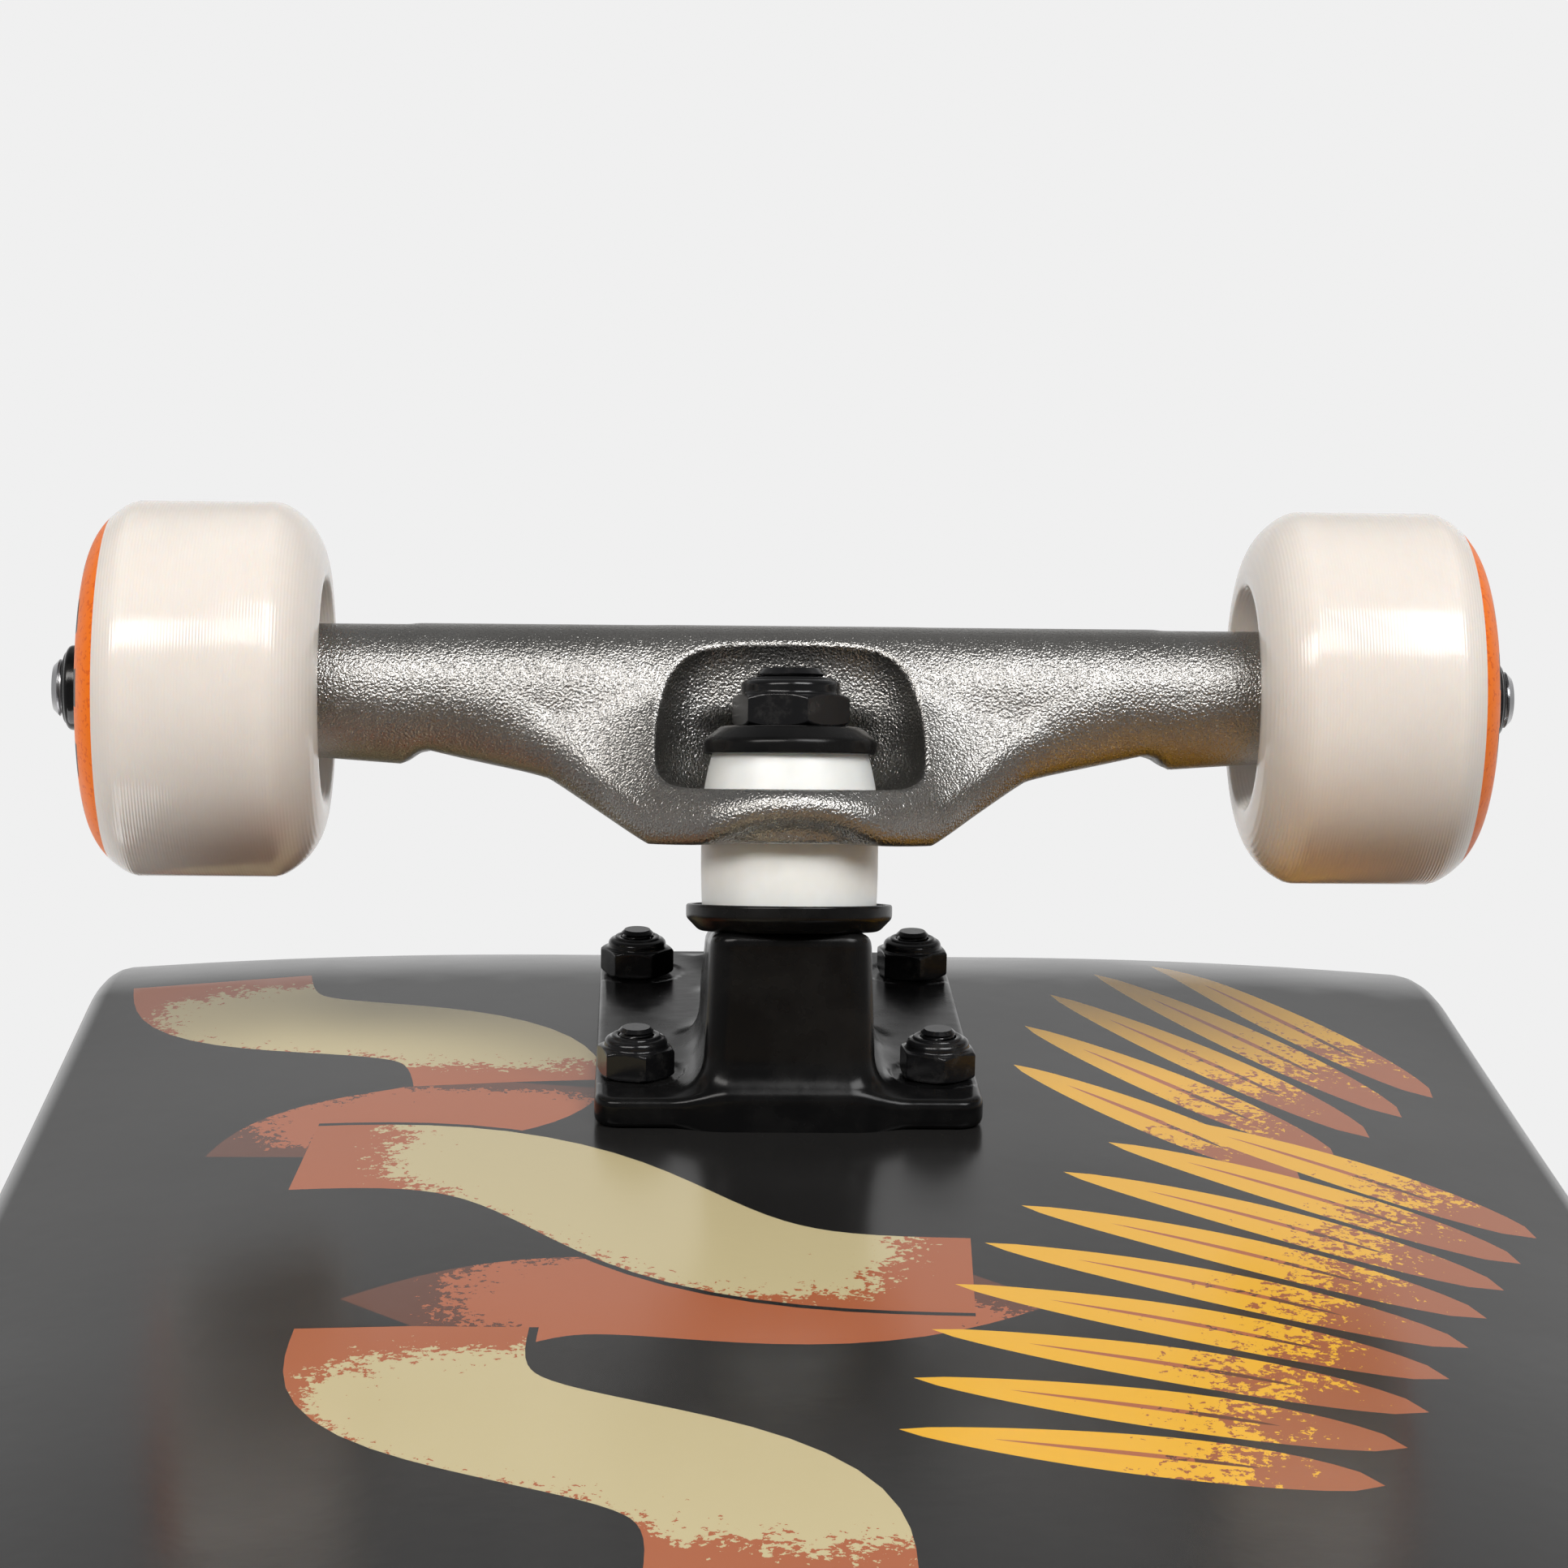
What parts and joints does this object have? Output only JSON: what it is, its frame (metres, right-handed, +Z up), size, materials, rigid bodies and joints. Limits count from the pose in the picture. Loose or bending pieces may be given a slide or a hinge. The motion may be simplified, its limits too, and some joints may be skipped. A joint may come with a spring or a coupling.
{
  "type": "skateboard",
  "caption": "Complete street skateboard: plied deck with kicked nose and tail, grip tape, cast kingpin trucks that steer on bushings, and urethane wheels on ball bearings.",
  "frame": {"origin": "on the ground under the middle of the board's length and width", "axes": "+X along the board towards the nose, +Y across it along the axles, +Z up; the board stands on its wheels"},
  "size_m": [0.8052, 0.209, 0.1443],
  "materials": {
    "lacquered_maple": "charcoal stain under gloss lacquer",
    "grip_tape": "coarse abrasive grit",
    "black_aluminium": "satin black paint on a casting",
    "black_steel": "satin black oxide",
    "cup_urethane": "satin",
    "bushing_urethane": "smooth satin",
    "cast_aluminium": "raw casting, fine blasted grain",
    "axle_steel": "turned",
    "wheel_urethane": "satin with fine turning lines",
    "bearing_steel": "ground",
    "ball_steel": "polished",
    "cage_nylon": "moulded",
    "seal_rubber": "moulded"
  },
  "bodies": {
    "board": {"deck": "lacquered_maple", "grip_tape": "grip_tape", "deck_bolts": "black_steel", "deck_nuts": "black_steel", "front_baseplate": "black_aluminium", "front_pivot_cup": "cup_urethane", "front_kingpin": "black_steel", "front_kingpin_nut": "black_steel", "front_bottom_washer": "black_steel", "front_bottom_bushing": "bushing_urethane", "front_top_bushing": "bushing_urethane", "front_top_washer": "black_steel", "rear_baseplate": "black_aluminium", "rear_pivot_cup": "cup_urethane", "rear_kingpin": "black_steel", "rear_kingpin_nut": "black_steel", "rear_bottom_washer": "black_steel", "rear_bottom_bushing": "bushing_urethane", "rear_top_bushing": "bushing_urethane", "rear_top_washer": "black_steel"},
    "front_truck": {"front_hanger": "cast_aluminium", "front_axle": "axle_steel", "front_left_inner_races": "bearing_steel", "front_left_spacer": "axle_steel", "front_left_speed_washers": "axle_steel", "front_left_axle_nut": "black_steel", "front_right_inner_races": "bearing_steel", "front_right_spacer": "axle_steel", "front_right_speed_washers": "axle_steel", "front_right_axle_nut": "black_steel"},
    "rear_truck": {"rear_hanger": "cast_aluminium", "rear_axle": "axle_steel", "rear_left_inner_races": "bearing_steel", "rear_left_spacer": "axle_steel", "rear_left_speed_washers": "axle_steel", "rear_left_axle_nut": "black_steel", "rear_right_inner_races": "bearing_steel", "rear_right_spacer": "axle_steel", "rear_right_speed_washers": "axle_steel", "rear_right_axle_nut": "black_steel"},
    "front_left_wheel": {"front_left_wheel": "wheel_urethane", "front_left_outer_races": "bearing_steel", "front_left_shields": "seal_rubber"},
    "front_right_wheel": {"front_right_wheel": "wheel_urethane", "front_right_outer_races": "bearing_steel", "front_right_shields": "seal_rubber"},
    "rear_left_wheel": {"rear_left_wheel": "wheel_urethane", "rear_left_outer_races": "bearing_steel", "rear_left_shields": "seal_rubber"},
    "rear_right_wheel": {"rear_right_wheel": "wheel_urethane", "rear_right_outer_races": "bearing_steel", "rear_right_shields": "seal_rubber"},
    "front_left_cages": {"front_left_cages": "cage_nylon", "front_left_balls": "ball_steel"},
    "front_right_cages": {"front_right_cages": "cage_nylon", "front_right_balls": "ball_steel"},
    "rear_left_cages": {"rear_left_cages": "cage_nylon", "rear_left_balls": "ball_steel"},
    "rear_right_cages": {"rear_right_cages": "cage_nylon", "rear_right_balls": "ball_steel"}
  },
  "joints": [
    {"name": "front_steering", "type": "hinge", "parent": "board", "child": "front_truck", "pos_m": [0.22823, 0, 0.063], "axis": [-0.9031, 0, -0.4294], "range_deg": [-12, 12], "stiffness_Nm_per_rad": 110, "deforming": ["front_bottom_bushing", "front_top_bushing"]},
    {"name": "rear_steering", "type": "hinge", "parent": "board", "child": "rear_truck", "pos_m": [-0.23777, 0, 0.063], "axis": [-0.9031, 0, 0.4294], "range_deg": [-12, 12], "stiffness_Nm_per_rad": 110, "deforming": ["rear_bottom_bushing", "rear_top_bushing"]},
    {"name": "front_left_spin", "type": "hinge", "parent": "front_truck", "child": "front_left_wheel", "pos_m": [0.19723, 0.0802, 0.026], "axis": [0, 1, 0], "continuous": true},
    {"name": "front_right_spin", "type": "hinge", "parent": "front_truck", "child": "front_right_wheel", "pos_m": [0.19723, -0.0802, 0.026], "axis": [0, 1, 0], "continuous": true},
    {"name": "rear_left_spin", "type": "hinge", "parent": "rear_truck", "child": "rear_left_wheel", "pos_m": [-0.20677, 0.0802, 0.026], "axis": [0, 1, 0], "continuous": true},
    {"name": "rear_right_spin", "type": "hinge", "parent": "rear_truck", "child": "rear_right_wheel", "pos_m": [-0.20677, -0.0802, 0.026], "axis": [0, 1, 0], "continuous": true},
    {"name": "front_left_cage_spin", "type": "hinge", "parent": "front_truck", "child": "front_left_cages", "pos_m": [0.19723, 0.0802, 0.026], "axis": [0, 1, 0], "continuous": true},
    {"name": "front_right_cage_spin", "type": "hinge", "parent": "front_truck", "child": "front_right_cages", "pos_m": [0.19723, -0.0802, 0.026], "axis": [0, 1, 0], "continuous": true},
    {"name": "rear_left_cage_spin", "type": "hinge", "parent": "rear_truck", "child": "rear_left_cages", "pos_m": [-0.20677, 0.0802, 0.026], "axis": [0, 1, 0], "continuous": true},
    {"name": "rear_right_cage_spin", "type": "hinge", "parent": "rear_truck", "child": "rear_right_cages", "pos_m": [-0.20677, -0.0802, 0.026], "axis": [0, 1, 0], "continuous": true}
  ],
  "couplings": [
    {"joint": "front_left_cage_spin", "follows": "front_left_spin", "ratio": 0.6323},
    {"joint": "front_right_cage_spin", "follows": "front_right_spin", "ratio": 0.6323},
    {"joint": "rear_left_cage_spin", "follows": "rear_left_spin", "ratio": 0.6323},
    {"joint": "rear_right_cage_spin", "follows": "rear_right_spin", "ratio": 0.6323}
  ]
}
